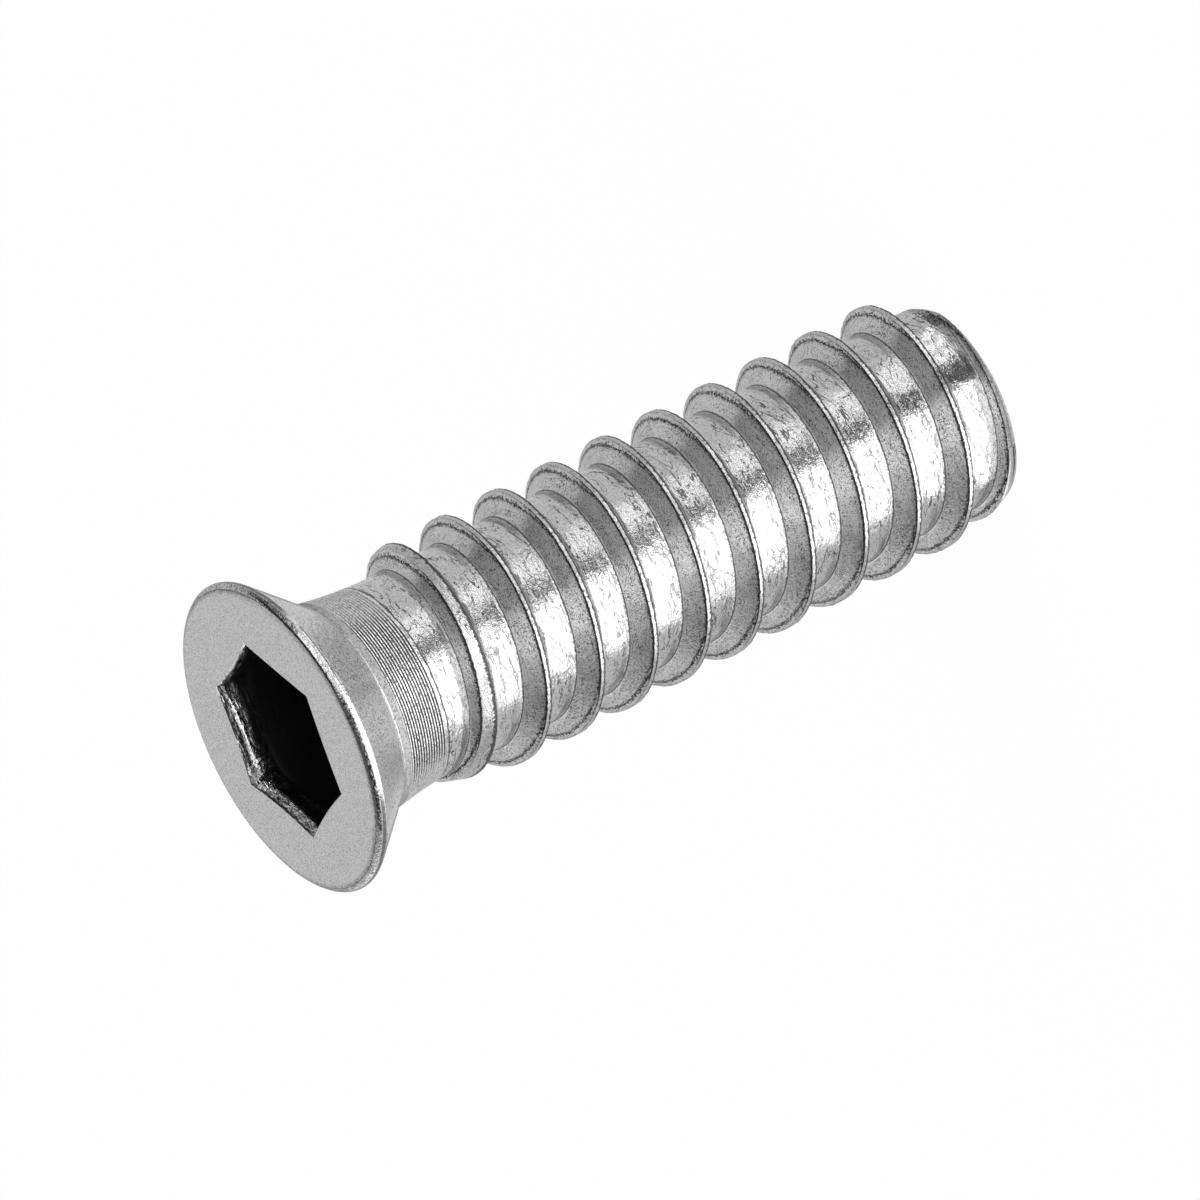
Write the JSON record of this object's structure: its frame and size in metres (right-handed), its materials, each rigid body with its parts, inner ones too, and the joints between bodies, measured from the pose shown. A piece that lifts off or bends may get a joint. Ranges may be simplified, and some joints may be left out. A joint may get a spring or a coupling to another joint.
{
  "type": "threaded wood insert",
  "caption": "Steel wood insert with a countersunk flange, hexagon key socket, coarse left-hand wood thread outside and a bolt thread bore inside.",
  "frame": {"origin": "centre of the cut tip's end face, on the insert's axis, where it stands on a flat surface", "axes": "+Z along the axis from the tip to the flange; +X and +Y across it, with the wood thread's crest crossing +X 2.1 mm above the tip"},
  "size_m": [0.0152, 0.0152, 0.0381],
  "materials": {
    "zinc_plated_steel": "bright zinc plating over turned steel, satin on the flange and burnished in the thread roots"
  },
  "bodies": {
    "root": {"threaded_insert": "zinc_plated_steel"}
  },
  "joints": []
}
